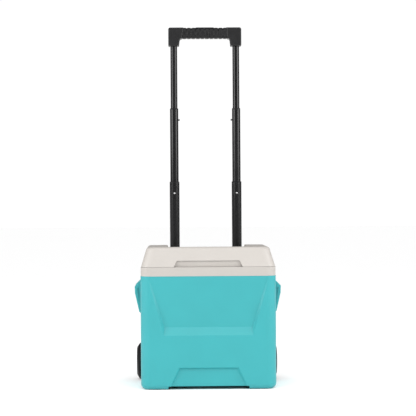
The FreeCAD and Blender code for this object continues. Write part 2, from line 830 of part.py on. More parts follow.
def make_hinge_brackets(screws):
    """Plates on the back wall whose arms reach over into the lid's slots."""
    top = "hinge_height + hinge_eye"
    low = "hinge_height - hinge_eye"
    front = "hinge_back - hinge_eye"
    rear = f"{BACK} + hinge_plate"
    foot = "shell_top - hinge_plate_drop"
    arm = [(BACK, foot), (rear, foot), (rear, f"{top} - hinge_arm_slope"), (f"{rear} - hinge_arm_slope", top),
           (front, top), (front, low), (BACK, low)]
    for side, sign in SIDES:
        body = new_body(f"hinge_bracket_{side}_solid")
        middle = f"{sign} * hinge_x"
        block = pad(body, outline(body, "YZ_Plane", arm, middle), "hinge_width", both_ways=True)
        nose = size_of("hinge_back") - size_of("hinge_eye")
        levels = [size_of("hinge_height") + turn * size_of("hinge_eye") for turn in (-1, 1)]

        def nose_edge(edge):
            return any(along_x_at(nose, level)(edge) for level in levels)
        rounded(body, block, nose_edge, "hinge_eye - 0.01")
        plate = rectangle(f"{middle} - hinge_plate_half", f"{middle} + hinge_plate_half",
                          foot, "rim_top - hinge_plate_gap")
        pad(body, outline(body, "XZ_Plane", plate, f"-{BACK}"), "hinge_plate", reverse=True)
        hole = circle(body, "YZ_Plane", "hinge_back", "hinge_height", "hinge_pin + running_gap", middle)
        pocket(body, hole, "2 * hinge_width", both_ways=True)
        keep(cut(f"hinge_bracket_{side}", body, [screws]))


# ------------------------------------------------------------------- handle
def tube_solid(label, radius, low, high, side_x, bore=None):
    """A round tube standing at one side of the handle."""
    inside = bore or f"{radius} - tube_wall"
    rod = cylinder(f"{label}_rod", radius, f"({high}) - ({low})", side_x, TUBE_Y, low)
    hole = cylinder(f"{label}_bore", inside, f"({high}) - ({low})", side_x, TUBE_Y, low)
    return cut(f"{label}_plain", rod, [hole])


def guide(label, radius, inner, head, side_x):
    """The sleeve in a tube's mouth, with a ring on top that is flush with the tube."""
    foot = "-(ring_height + sleeve_length)"
    corners = [(inner, foot), (f"{radius} - tube_wall", foot),
               (f"{radius} - tube_wall", "-ring_height"), (radius, "-ring_height"), (radius, "-tube_edge"),
               (f"{radius} - tube_edge", "0"), (inner, "0")]
    return keep(turned(label, corners, side_x, TUBE_Y, head))


def lock_axis(stage, sign):
    """The way a stage's lock pins point: inwards on the top stage, else forwards."""
    if stage == "upper":
        return "-x" if sign > 0 else "x"
    return "-y"


def lock_cylinder(label, stage, sign, radius, near, far, side_x, height):
    """A cylinder on a lock pin's axis, from one distance off the tube's axis to another."""
    axis = lock_axis(stage, sign)
    step = -sign if stage == "upper" else 0
    x = f"{side_x} + {step} * ({near})"
    y = TUBE_Y if stage == "upper" else f"{TUBE_Y} - ({near})"
    return cylinder(label, radius, f"({far}) - ({near})", x, y, height, axis)


def lock_pin(label, stage, sign, far, side_x, height):
    """A sprung pin with a bevelled tip."""
    step = -sign if stage == "upper" else 0
    x = f"{side_x} + {step} * lock_start"
    y = TUBE_Y if stage == "upper" else f"{TUBE_Y} - lock_start"
    length = f"{far} - lock_start"
    corners = [(0, 0), ("lock_radius", 0), ("lock_radius", f"{length} - lock_tip"),
               ("lock_radius - lock_tip", length), (0, length)]
    return keep(turned(label, corners, x, y, height, lock_axis(stage, sign)))


def make_stage(stage, outer_radius, radius, outer_head, reach):
    """The feet, lock pins and springs of one pair of moving tubes."""
    low = f"({outer_head} - ring_height - sleeve_length)"
    flange = f"({outer_radius} - tube_wall - slide_gap)"
    inside = f"({radius} - tube_wall)"
    height = f"{low} - lock_drop"
    spring_end = f"-({inside} - lock_back)"
    springs = []
    for side, sign in SIDES:
        side_x = f"{sign} * tube_x"
        corners = [("rod_radius + rod_gap", "-foot_flange"), (f"{flange} - tube_edge", "-foot_flange"),
                   (flange, "-foot_flange + tube_edge"), (flange, "0"), (inside, "0"),
                   (inside, "foot_spigot"), ("rod_radius + rod_gap", "foot_spigot")]
        plug = turned(f"{stage}_foot_{side}_plug", corners, side_x, TUBE_Y, low)
        pin_hole = lock_cylinder(f"{stage}_pin_hole_{side}", stage, sign, "lock_radius + running_gap",
                                 spring_end, outer_radius, side_x, height)
        keep(cut(f"{stage}_foot_{side}", plug, [pin_hole]))
        lock_pin(f"{stage}_lock_pin_{side}", stage, sign, f"({outer_radius} + {reach})", side_x, height)
        coil = lock_cylinder(f"{stage}_coil_{side}", stage, sign, "lock_radius - coil_gap", spring_end,
                             "lock_start", side_x, height)
        core = lock_cylinder(f"{stage}_coil_core_{side}", stage, sign, "lock_radius - coil_gap - coil_wire",
                             spring_end, "lock_start", side_x, height)
        springs.append(cut(f"{stage}_spring_{side}", coil, [core]))
    keep(group(f"{stage}_lock_springs", springs))


def tube_with_hole(label, stage, sign, radius, low, high, side_x, hole_height):
    """A tube with the hole that the next stage's lock pin springs into."""
    plain = tube_solid(label, radius, low, high, side_x)
    hole = lock_cylinder(f"{label}_hole", stage, sign, "lock_radius + running_gap", "4", f"{radius} + 2",
                         side_x, hole_height)
    return keep(cut(label, plain, [hole]))


def make_handle_tubes():
    """Housings fixed to the body and the three moving stages, all on the same two axes."""
    inner_end = {"housing": "housing_foot", "lower": "housing_head - ring_height - sleeve_length",
                 "middle": "lower_head - ring_height - sleeve_length",
                 "upper": "middle_head - ring_height - sleeve_length"}
    chain = ("housing", "lower", "middle", "upper")
    for tube, following in zip(chain, chain[1:]):
        head = f"{tube}_head"
        for side, sign in SIDES:
            side_x = f"{sign} * tube_x"
            hole_height = f"{head} - ring_height - sleeve_length - lock_drop"
            tube_with_hole(f"{tube}_tube_{side}", following, sign, f"{tube}_radius", inner_end[tube],
                           f"{head} - ring_height", side_x, hole_height)
            guide(f"{tube}_guide_{side}", f"{tube}_radius", f"{following}_radius + slide_gap", head, side_x)
    for side, sign in SIDES:
        keep_tube = tube_solid(f"upper_tube_{side}", "upper_radius", inner_end["upper"],
                               "bar_bottom + tube_insert", f"{sign} * tube_x")
        keep_tube.Label = f"upper_tube_{side}"
        keep(keep_tube)
    make_stage("lower", "housing_radius", "lower_radius", "housing_head", "stud_reach")
    make_stage("middle", "lower_radius", "middle_radius", "lower_head", "stud_reach")
    make_stage("upper", "middle_radius", "upper_radius", "middle_head", "lock_reach")


def make_handle_brackets(screws):
    """The blocks that hold the housing tubes against the back recess."""
    wall_y = f"({BACK} - back_recess_depth)"
    levels = (("handle_top_bracket", "housing_head - top_bracket_drop", "housing_head - ring_height"),
              ("handle_bottom_bracket", "housing_foot - low_bracket_drop", "housing_foot + low_bracket_rise"))
    for label, low, high in levels:
        body = new_body(f"{label}_solid")
        half = "(tube_x + housing_radius + bracket_wall)"
        plan = rectangle(f"-{half}", half, wall_y, f"{TUBE_Y} + bracket_reach")
        block = pad(body, outline(body, "XY_Plane", plan, low), f"({high}) - ({low})")
        rounded(body, block, upright, "bracket_wall")
        web_half = "(tube_x - housing_radius - web_gap)"
        web = rectangle(f"-{web_half}", web_half, f"{wall_y} + web_depth", f"{TUBE_Y} + 2 * bracket_reach")
        pocket(body, outline(body, "XY_Plane", web, f"{low} - 1"), "90", reverse=True)
        tubes = [cylinder(f"{label}_room_{side}", "housing_radius", "housing_head", f"{sign} * tube_x",
                          TUBE_Y, "housing_foot") for side, sign in SIDES]
        pin_rooms = [lock_cylinder(f"{label}_pin_room_{side}", "lower", sign, "lock_radius + 6 * running_gap",
                                   "pin_room_start", "2 * pin_room_start", f"{sign} * tube_x", LOWEST_PIN)
                     for side, sign in SIDES]
        keep(cut(label, body, [screws] + tubes + pin_rooms))


# --------------------------------------------------------------------- grip
def outer_corner(height):
    """A test for the edges along Y at the outer ends of the grip, at this height."""
    def test(edge):
        centre = edge.BoundBox.Center
        return along_y(edge) and abs(centre.z - height) < 0.1 and abs(centre.x) > size_of("grip_half") - 0.1
    return test


def inner_corner(edge):
    """The hollow edges where the end blocks meet the underside of the bar."""
    centre = edge.BoundBox.Center
    inner = size_of("grip_half") - size_of("block_width")
    return along_y(edge) and abs(centre.z - size_of("bar_bottom")) < 0.1 and abs(abs(centre.x) - inner) < 0.1


def face_rim(edge):
    """The edges round the front and back faces of the grip's end blocks."""
    span = edge.BoundBox
    middle = (size_of("overall_depth") - size_of("grip_depth")) / 2
    return span.YLength < 0.01 and abs(abs(span.YMin - middle) - size_of("grip_depth") / 2) < 0.01


def button_plan(gap):
    """The outline of the release button seen from above, grown by the gap."""
    half = f"(button_half + {gap})"
    depth = f"(button_depth / 2 + {gap})"
    return rectangle(f"-{half}", half, f"{TUBE_Y} - {depth}", f"{TUBE_Y} + {depth}")


def make_grip():
    """Frame with two end blocks, ribbed rubber sleeve, and the release button with its rods."""
    bar_low = "(bar_bottom + sleeve_skin)"
    bar_high = "(grip_top - sleeve_skin)"
    half_depth = "(grip_depth / 2)"
    core_half = f"({half_depth} - sleeve_skin)"
    block_inner = "(grip_half - block_width)"
    ridge_half = "(ridge_pitch * ridge_count / 2)"

    frame = new_body("grip_frame_solid")
    for side, sign in SIDES:
        plan = [(f"{sign} * cap_foot_half", "bar_bottom"), (f"{sign} * {block_inner}", "bar_bottom"),
                (f"{sign} * ({block_inner} + block_draft)", "grip_bottom"),
                (f"{sign} * grip_half", "grip_bottom"), (f"{sign} * grip_half", "grip_top"),
                (f"{sign} * cap_half", "grip_top")]
        pad(frame, outline(frame, "XZ_Plane", plan, f"-{TUBE_Y}"), "grip_depth", both_ways=True)
    for height, radius in (("grip_top", "cap_round"), ("grip_bottom", "cap_round / 2")):
        rounded(frame, frame.Tip, outer_corner(size_of(height)), radius)
    rounded(frame, frame.Tip, inner_corner, "cap_inner_round")
    rounded(frame, frame.Tip, face_rim, "cap_edge")
    bar = rectangle(f"{TUBE_Y} - {core_half}", f"{TUBE_Y} + {core_half}", bar_low, bar_high)
    pad(frame, outline(frame, "YZ_Plane", bar), f"2 * {block_inner} + 4", both_ways=True)

    yoke_low = "(bar_bottom + yoke_rise)"
    yoke_high = f"({yoke_low} + yoke_height)"
    channel_half = "(yoke_half + 2 * yoke_gap)"
    channel = rectangle(f"{TUBE_Y} - {channel_half}", f"{TUBE_Y} + {channel_half}",
                        f"{yoke_low} - button_travel - yoke_gap", f"{yoke_high} + yoke_gap")
    pocket(frame, outline(frame, "YZ_Plane", channel), "2 * (tube_x + yoke_half + 3)", both_ways=True)
    well = outline(frame, "XY_Plane", button_plan("button_gap"), f"{bar_high} - well_depth")
    pocket(frame, well, "past", reverse=True)
    spring_foot = f"{bar_high} - spring_drop"
    for radius, low in (("spring_radius + 0.4", spring_foot), ("stem_radius + button_gap", yoke_low)):
        pocket(frame, circle(frame, "XY_Plane", 0, TUBE_Y, radius, low), "2 * past", reverse=True)
    room_height = "bar_bottom + tube_insert - grip_bottom + 1"
    tube_rooms = [cylinder(f"grip_tube_room_{side}", "upper_radius", room_height, f"{sign} * tube_x",
                           TUBE_Y, "grip_bottom - 1") for side, sign in SIDES]
    rod_rooms = [cylinder(f"grip_rod_room_{side}", "rod_radius + 2 * rod_gap", "2 * past", f"{sign} * tube_x",
                          TUBE_Y, "bar_bottom") for side, sign in SIDES]
    seat_y = f"{TUBE_Y} + {half_depth} - sleeve_skin"
    seat_z = "bar_bottom - grip_screw - 1"
    screws = group("grip_screws", [
        screw(f"grip_screw_{side}", f"{sign} * tube_x", seat_y, seat_z, "-y", "grip_screw")
        for side, sign in SIDES])
    heads = [cylinder(f"grip_screw_room_{side}", "head_radius + 0.2", "past", f"{sign} * tube_x",
                      seat_y, seat_z, "y") for side, sign in SIDES]
    keep(cut("grip_frame", frame, tube_rooms + rod_rooms + [screws] + heads))
    keep(screws)

    sleeve = new_body("grip_sleeve")
    skin = rectangle(f"{TUBE_Y} - {half_depth}", f"{TUBE_Y} + {half_depth}", "bar_bottom", "grip_top")
    ridge = pad(sleeve, outline(sleeve, "YZ_Plane", skin, f"-{ridge_half}"), "ridge_pitch")
    long_edges = rounded(sleeve, ridge, lambda edge: abs(direction(edge).x) > 0.9, "sleeve_round")
    ends = rounded(sleeve, long_edges, lambda edge: edge.BoundBox.XLength < 0.01, "ridge_round")
    row = sleeve.newObject("PartDesign::LinearPattern", "ridge_row")
    row.Originals = [ridge, long_edges, ends]
    row.TransformMode = "Whole shape"
    row.Direction = (origin_part(sleeve, "X_Axis"), [""])
    row.Mode = "Spacing"
    bind(row, "Offset", "ridge_pitch")
    bind(row, "Occurrences", "ridge_count")
    sleeve.Tip = row
    for side, sign in SIDES:
        end = [(f"{sign} * cap_foot_half", "bar_bottom"), (f"{sign} * cap_half", "grip_top"),
               (f"{sign} * grip_half", "grip_top"), (f"{sign} * grip_half", "bar_bottom")]
        pocket(sleeve, outline(sleeve, "XZ_Plane", end, f"-{TUBE_Y}"), "2 * grip_depth", both_ways=True)
    pocket(sleeve, outline(sleeve, "YZ_Plane", bar), "grip_half * 2", both_ways=True)
    window = outline(sleeve, "XY_Plane", button_plan("2 * button_gap"), f"{bar_high} - well_depth")
    pocket(sleeve, window, "past", reverse=True)
    keep(sleeve)

    button = new_body("release_button")
    cap = pad(button, outline(button, "XY_Plane", button_plan("0"), f"{bar_high} - button_foot"),
              "sleeve_skin + button_foot + button_proud")
    cap = rounded(button, cap, upright, "button_round")
    crown = size_of("grip_top") + size_of("button_proud")
    rounded(button, cap, at_height(crown), "button_edge")
    pad(button, circle(button, "XY_Plane", 0, TUBE_Y, "stem_radius", yoke_high),
        f"{bar_high} - button_foot - {yoke_high}")
    keep(button)

    yoke = box("yoke_bar", ("-(tube_x + yoke_half)", "tube_x + yoke_half"),
               (f"{TUBE_Y} - yoke_half", f"{TUBE_Y} + yoke_half"), (yoke_low, yoke_high))
    top_pin = "(middle_head - ring_height - sleeve_length - lock_drop)"
    foot_bore = f"({top_pin} + lock_radius + button_travel + rod_gap)"
    rods = []
    for side, sign in SIDES:
        rods.append(cylinder(f"push_rod_{side}", "rod_radius", f"{yoke_low} + 1 - {foot_bore}",
                             f"{sign} * tube_x", TUBE_Y, foot_bore))
    keep(join("button_yoke", [yoke] + rods))
    coil = cylinder("button_coil", "spring_radius", "spring_height", 0, TUBE_Y, spring_foot)
    core = cylinder("button_coil_core", "spring_radius - spring_wire", "spring_height", 0, TUBE_Y,
                    spring_foot)
    keep(cut("button_spring", coil, [core]))


# ------------------------------------------------------------------- wheels
def make_wheels():
    """Axle stubs in the shell's bosses, spoked rims, tread rings, washers and caps."""
    washers = []
    caps = []
    rim = "(wheel_radius - tread_depth)"
    wide = "(wheel_outer - wheel_inner)"
    cap_foot = "(wheel_inner + hub_end + 0.5)"
    axle_end = f"({cap_foot} + cap_height - cap_roof - axle_end_gap - well_wall + axle_depth)"
    for side, sign in SIDES:
        axis = "x" if sign > 0 else "-x"
        spot = {"y": "axle_back", "z": "wheel_radius", "axis": axis}
        hub_x = f"{sign} * wheel_inner"
        axle = [(0, 0), ("axle_radius", 0), ("axle_radius", f"{axle_end} - axle_tip"),
                ("axle_radius - axle_tip", axle_end), (0, axle_end)]
        keep(turned(f"axle_pin_{side}", axle, x=f"{sign} * (well_wall - axle_depth)", **spot))

        bore = "axle_radius + running_gap"
        profile = [(bore, "-hub_start"), ("hub_radius", "-hub_start"), ("hub_radius", "spoke_inner"),
                   (f"{rim} - 6", "spoke_inner + 2"), (f"{rim} - 4", "1.5"), (rim, "1.5"),
                   (rim, f"{wide} - 3.6"), (f"{rim} - 2.5", f"{wide} - 1.4"), (f"{rim} - 5.5", wide),
                   (f"{rim} - 7.5", f"{wide} - 0.8"), (f"{rim} - 8.5", "spoke_outer + 2"),
                   ("hub_radius + 1", "spoke_outer"), ("hub_radius", "hub_end"), (bore, "hub_end")]
        hub = turned(f"wheel_rim_{side}", profile, x=hub_x, **spot)
        hole = circle(hub, "XY_Plane", "window_ring", "0", "window_radius", wide)
        window = pocket(hub, hole, f"2 * {wide}")
        ring = hub.newObject("PartDesign::PolarPattern", f"window_ring_{side}")
        ring.Originals = [window]
        ring.Axis = (origin_part(hub, "Z_Axis"), [""])
        ring.Angle = 360
        ring.Occurrences = 6
        hub.Tip = ring
        keep(hub)

        tread = [(rim, "0"), ("wheel_radius - 3", "0"), ("wheel_radius", "3")]
        for groove in ("first_groove", "second_groove"):
            floor = "wheel_radius - groove_depth"
            tread += [("wheel_radius", f"{groove} - groove_half"), (floor, f"{groove} - groove_half / 2"),
                      (floor, f"{groove} + groove_half / 2"), ("wheel_radius", f"{groove} + groove_half")]
        tread += [("wheel_radius - 1.2", f"{wide} - 7.5"), ("wheel_radius - 4", f"{wide} - 4.8"),
                  (rim, f"{wide} - 3.3")]
        keep(turned(f"wheel_tyre_{side}", tread, x=hub_x, **spot))

        washer = [("axle_radius", 0), ("hub_radius", 0), ("hub_radius", "washer_height"),
                  ("axle_radius", "washer_height")]
        washers.append(turned(f"washer_{side}_inner", washer, x=f"{sign} * well_wall", **spot))
        cap = [("axle_radius", 0), ("hub_radius - 1", 0), ("hub_radius - 1", "cap_height / 2"),
               ("hub_radius - 3", "cap_height"), (0, "cap_height"), (0, "cap_height - cap_roof"),
               ("axle_radius", "cap_height - cap_roof")]
        caps.append(turned(f"cap_{side}", cap, x=f"{sign} * {cap_foot}", **spot))
    keep(group("wheel_washers", washers))
    keep(group("axle_caps", caps))


# ------------------------------------------------------------------ writing
def problems():
    """Every object that failed, and every piece whose shape is missing or not valid."""
    bad = [f"{thing.Label}: {thing.State}" for thing in document.Objects
           if {"Invalid", "Error"} & set(thing.State)]
    bad += [f"{thing.Label}: no valid shape" for thing in nodes
            if thing.Shape.isNull() or not thing.Shape.isValid()]
    return bad


make_sheet()
hinge_screws, bracket_screws = make_body()
make_lid()
make_hinge_brackets(hinge_screws)
make_handle_tubes()
make_handle_brackets(bracket_screws)
make_grip()
make_wheels()
document.recompute()

failures = problems()
if failures:
    raise SystemExit("\n".join(failures))
os.makedirs("parts", exist_ok=True)
for piece in nodes:
    box_now = piece.Shape.BoundBox
    print(f"{piece.Label}: {len(piece.Shape.Solids)} solid, {piece.Shape.Volume / 1000:.1f} cm3, "
          f"z {box_now.ZMin:.1f} to {box_now.ZMax:.1f}")
    piece.Shape.exportStep(f"parts/{piece.Label}.step")
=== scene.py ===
import json
import math

import bmesh
import bpy
from mathutils import Matrix, Vector


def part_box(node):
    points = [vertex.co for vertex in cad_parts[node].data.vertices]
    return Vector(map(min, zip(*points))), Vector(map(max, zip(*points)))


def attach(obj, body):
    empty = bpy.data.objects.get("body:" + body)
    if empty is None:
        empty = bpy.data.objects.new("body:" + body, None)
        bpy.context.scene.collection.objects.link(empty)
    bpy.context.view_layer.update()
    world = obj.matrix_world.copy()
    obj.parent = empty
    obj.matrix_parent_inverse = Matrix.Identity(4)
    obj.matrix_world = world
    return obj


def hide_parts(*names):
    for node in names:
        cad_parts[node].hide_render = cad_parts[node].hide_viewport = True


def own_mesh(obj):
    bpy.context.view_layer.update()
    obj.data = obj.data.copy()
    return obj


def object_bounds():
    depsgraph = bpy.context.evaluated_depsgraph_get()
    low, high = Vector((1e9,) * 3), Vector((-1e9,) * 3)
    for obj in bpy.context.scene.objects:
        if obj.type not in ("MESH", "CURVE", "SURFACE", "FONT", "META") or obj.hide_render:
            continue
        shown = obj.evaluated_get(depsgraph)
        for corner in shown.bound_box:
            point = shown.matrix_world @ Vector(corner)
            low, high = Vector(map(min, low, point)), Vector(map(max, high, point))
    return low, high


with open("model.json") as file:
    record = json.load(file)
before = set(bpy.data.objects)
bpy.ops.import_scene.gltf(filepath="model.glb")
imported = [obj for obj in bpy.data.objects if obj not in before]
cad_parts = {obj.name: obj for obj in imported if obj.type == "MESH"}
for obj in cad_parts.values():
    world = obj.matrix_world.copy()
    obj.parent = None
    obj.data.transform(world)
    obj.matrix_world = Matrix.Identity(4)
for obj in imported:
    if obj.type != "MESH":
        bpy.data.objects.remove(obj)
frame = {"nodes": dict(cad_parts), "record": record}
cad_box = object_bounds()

# A cooler on wheels, in metres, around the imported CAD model. The view is the front, from a
# little to the left, with the camera level and a little above the lid.

NODES = frame["nodes"]
SIDES = (("left", -1), ("right", 1))
X, Y, Z = Vector((1, 0, 0)), Vector((0, 1, 0)), Vector((0, 0, 1))


# ---------------------------------------------------------------- materials
def new_material(name):
    """An empty node material with a Principled shader wired to its output."""
    mat = bpy.data.materials.new(name)
    mat.use_nodes = True
    tree = mat.node_tree
    tree.nodes.clear()
    out = tree.nodes.new("ShaderNodeOutputMaterial")
    shader = tree.nodes.new("ShaderNodeBsdfPrincipled")
    tree.links.new(shader.outputs["BSDF"], out.inputs["Surface"])
    return mat, tree, shader


def noise(tree, scale, detail=2.0, stretch=(1, 1, 1), rough=0.5):
    """Noise in the object's own metres; stretch under 1 draws it out along that axis."""
    place = tree.nodes.new("ShaderNodeTexCoord")
    squeeze = tree.nodes.new("ShaderNodeMapping")
    squeeze.inputs["Scale"].default_value = stretch
    grain = tree.nodes.new("ShaderNodeTexNoise")
    grain.inputs["Scale"].default_value = scale
    grain.inputs["Detail"].default_value = detail
    grain.inputs["Roughness"].default_value = rough
    tree.links.new(place.outputs["Object"], squeeze.inputs["Vector"])
    tree.links.new(squeeze.outputs["Vector"], grain.inputs["Vector"])
    return grain.outputs["Fac"]


def pebbles(tree, scale):
    """Distance from the middles of small cells, in the object's own metres."""
    place = tree.nodes.new("ShaderNodeTexCoord")
    cells = tree.nodes.new("ShaderNodeTexVoronoi")
    cells.inputs["Scale"].default_value = scale
    tree.links.new(place.outputs["Object"], cells.inputs["Vector"])
    return cells.outputs["Distance"]


def ramp(tree, source, low, high, start=0.3, end=0.7):
    """Blend between two colours as the source goes from start to end."""
    node = tree.nodes.new("ShaderNodeValToRGB")
    node.color_ramp.elements[0].position = start
    node.color_ramp.elements[1].position = end
    node.color_ramp.elements[0].color = (*low, 1)
    node.color_ramp.elements[1].color = (*high, 1)
    tree.links.new(source, node.inputs["Fac"])
    return node.outputs["Color"]


def spread(tree, source, low, high):
    """The source's range 0.3 to 0.7 mapped to low to high."""
    node = tree.nodes.new("ShaderNodeMapRange")
    node.inputs["From Min"].default_value = 0.3
    node.inputs["From Max"].default_value = 0.7
    node.inputs["To Min"].default_value = low
    node.inputs["To Max"].default_value = high
    tree.links.new(source, node.inputs["Value"])
    return node.outputs["Result"]


def bump(tree, source, depth, under=None):
    """A bump of this depth in metres, over the one given as under."""
    node = tree.nodes.new("ShaderNodeBump")
    node.inputs["Distance"].default_value = depth
    tree.links.new(source, node.inputs["Height"])
    if under is not None:
        tree.links.new(under, node.inputs["Normal"])
    return node.outputs["Normal"]


def shade(color, factor):
    return tuple(min(1.0, channel * factor) for channel in color)


def plastic(name, color, roughness, grain=0.00004, wave=0.0001, mottle=0.03, specular=0.5):
    """Moulded plastic: a fine spark-eroded grain over a very slight long waviness."""
    mat, tree, shader = new_material(name)
    tint = ramp(tree, noise(tree, 14, 3), shade(color, 1 - mottle), shade(color, 1 + mottle))
    tree.links.new(tint, shader.inputs["Base Color"])
    tree.links.new(spread(tree, noise(tree, 40, 3), roughness - 0.04, roughness + 0.04),
                   shader.inputs["Roughness"])
    long_wave = bump(tree, noise(tree, 9, 1), wave)
    tree.links.new(bump(tree, noise(tree, 1500, 2), grain, long_wave), shader.inputs["Normal"])
    shader.inputs["Specular IOR Level"].default_value = specular
    return mat


def anodised(name, color, roughness):
    """Black anodised tube: fine drawing lines along Z and faint rub marks."""
    mat, tree, shader = new_material(name)
    lines = noise(tree, 900, 1, (1, 1, 0.004))
    rubs = noise(tree, 60, 3, (1, 1, 0.05), 0.5)
    tree.links.new(ramp(tree, rubs, color, shade(color, 1.3), 0.45, 0.75), shader.inputs["Base Color"])
    tree.links.new(spread(tree, rubs, roughness - 0.04, roughness + 0.06), shader.inputs["Roughness"])
    tree.links.new(bump(tree, lines, 0.000001), shader.inputs["Normal"])
    shader.inputs["Specular IOR Level"].default_value = 0.36
    return mat


def steel(name, color, roughness):
    """Plated or stainless steel with fine turning marks."""
    mat, tree, shader = new_material(name)
    marks = noise(tree, 900, 4)
    tree.links.new(ramp(tree, marks, shade(color, 0.85), shade(color, 1.1)), shader.inputs["Base Color"])
    tree.links.new(spread(tree, marks, roughness - 0.06, roughness + 0.06), shader.inputs["Roughness"])
    tree.links.new(bump(tree, marks, 0.00001), shader.inputs["Normal"])
    shader.inputs["Metallic"].default_value = 1.0
    return mat


def rubber(name, color, roughness, cells, depth, specular):
    """Black rubber with a pebbled skin and a little dust in it."""
    mat, tree, shader = new_material(name)
    dust = noise(tree, 55, 4)
    tree.links.new(ramp(tree, dust, color, shade(color, 1.6), 0.4, 0.8), shader.inputs["Base Color"])
    tree.links.new(spread(tree, dust, roughness - 0.05, roughness + 0.08), shader.inputs["Roughness"])
    tree.links.new(bump(tree, pebbles(tree, cells), depth), shader.inputs["Normal"])
    shader.inputs["Specular IOR Level"].default_value = specular
    return mat


def foam(name, color):
    """Rigid foam: a mass of small open cells, with painted shade darkening the bottom of each cell."""
    mat, tree, shader = new_material(name)
    cells = pebbles(tree, 420)
    # painted shade: the colour is darkest at the middle of each cell, where the bump sinks deepest
    tree.links.new(ramp(tree, cells, shade(color, 0.8), color, 0.1, 0.6), shader.inputs["Base Color"])
    tree.links.new(bump(tree, cells, 0.0004), shader.inputs["Normal"])
    shader.inputs["Roughness"].default_value = 0.9
    return mat


TURQUOISE = (0.0275, 0.303, 0.325)
OFF_WHITE = (0.407, 0.382, 0.356)
BLACK = (0.0075, 0.0075, 0.008)

MATERIALS = {
    "shell": plastic("shell_plastic", TURQUOISE, 0.42, mottle=0.02, specular=0.45),
    "liner": plastic("liner_plastic", shade(OFF_WHITE, 0.96), 0.40, mottle=0.015),
    "lid": plastic("lid_plastic", OFF_WHITE, 0.44, mottle=0.015),
    "foam": foam("insulating_foam", (0.80, 0.72, 0.46)),
    "hinge_plastic": plastic("hinge_plastic", shade(OFF_WHITE, 0.9), 0.42),
    "steel": steel("plated_steel", (0.60, 0.60, 0.58), 0.32),
    "tube": anodised("black_anodised", shade(BLACK, 0.5), 0.22),
    "black_plastic": plastic("black_plastic", shade(BLACK, 1.3), 0.34, 0.00006, 0.0001, 0.1, 0.35),
    "collar": plastic("collar_plastic", BLACK, 0.34, 0.00003, 0.00005, 0.1, 0.24),
    "bright_pin": steel("bright_pin_steel", (0.66, 0.66, 0.66), 0.25),
    "dark_pin": steel("dark_pin_steel", (0.10, 0.10, 0.105), 0.35),
    "grip_rubber": rubber("grip_rubber", shade(BLACK, 1.3), 0.38, 620, 0.0002, 0.2),
    "button": plastic("button_plastic", shade(BLACK, 1.5), 0.34, 0.00004),
    "tyre": rubber("tyre_rubber", BLACK, 0.5, 900, 0.0001, 0.08),
}


def dress_cad():
    """Every carried-over CAD node gets the material of its slot in the record."""
    for part in frame["record"]["subparts"]:
        node = NODES[part["node"]]
        node.data.materials.clear()
        node.data.materials.append(MATERIALS[part["material_slot"]])


# --------------------------------------------------------------- mesh tools
def slot_of(node):
    return next(part["material_slot"] for part in frame["record"]["subparts"] if part["node"] == node)


def body_of(node):
    return next(name for name, held in frame["record"]["behaviour"]["bodies"].items() if node in held)


def stand_in(name, form, node, sharp=40):
    """A finished mesh as a piece that stands for a CAD node, on its body and in its finish."""
    bmesh.ops.recalc_face_normals(form, faces=form.faces)
    limit = math.radians(sharp)
    for edge in form.edges:
        edge.smooth = len(edge.link_faces) == 2 and edge.calc_face_angle() < limit
    for face in form.faces:
        face.smooth = True
    mesh = bpy.data.meshes.new(name)
    form.to_mesh(mesh)
    form.free()
    mesh.materials.append(MATERIALS[slot_of(node)])
    piece = bpy.data.objects.new(name, mesh)
    bpy.context.collection.objects.link(piece)
    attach(piece, body_of(node))
    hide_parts(node)
    return piece


def solids(node):
    """The lowest and highest corner of each separate solid in a CAD node, from left to right."""
    form = bmesh.new()
    form.from_mesh(NODES[node].data)
    bmesh.ops.remove_doubles(form, verts=form.verts, dist=1e-6)
    boxes = []
    seen = set()
    for start in form.verts:
        if start in seen:
            continue
        seen.add(start)
        island = [start]
        for vert in island:
            fresh = [edge.other_vert(vert) for edge in vert.link_edges]
            fresh = [other for other in fresh if other not in seen]
            seen.update(fresh)
            island.extend(dict.fromkeys(fresh))
        low = Vector([min(vert.co[k] for vert in island) for k in range(3)])
        high = Vector([max(vert.co[k] for vert in island) for k in range(3)])
        boxes.append((low, high))
    form.free()
    return sorted(boxes, key=lambda pair: (round(pair[0].z, 3), pair[0].x))


def skin(form, rings, closed=False):
    """Join equal rings of points with quads and cap the two ends, or join last to first."""
    rows = [[form.verts.new(point) for point in ring] for ring in rings]
    count = len(rows[0])
    pairs = list(zip(rows, rows[1:]))
    if closed:
        pairs.append((rows[-1], rows[0]))
    for low, high in pairs:
        for k in range(count):
            after = (k + 1) % count
            form.faces.new((low[k], low[after], high[after], high[k]))
    if not closed:
        form.faces.new(rows[0])
        form.faces.new(rows[-1])


def rounded_plan(half_width, half_height, radius, steps=7):
    """Points round a rectangle with round corners, in its own two directions."""
    points = []
    for corner, (sx, sy) in enumerate(((1, 1), (-1, 1), (-1, -1), (1, -1))):
        for k in range(steps + 1):
            angle = math.pi / 2 * (corner + k / steps)
            points.append((sx * (half_width - radius) + radius * math.cos(angle),
                           sy * (half_height - radius) + radius * math.sin(angle)))
    return points


def lathe(form, profile, origin, axis, steps=28):
    """Turn a profile of (radius, distance along the axis) about the axis through the origin."""
    turn = axis.to_track_quat("Z", "Y").to_matrix()
    rings = []
    for radius, along in profile:
        ring = [turn @ Vector((radius * math.cos(a), radius * math.sin(a), along)) + origin
                for a in (2 * math.pi * k / steps for k in range(steps))]
        rings.append(ring)
    skin(form, rings)


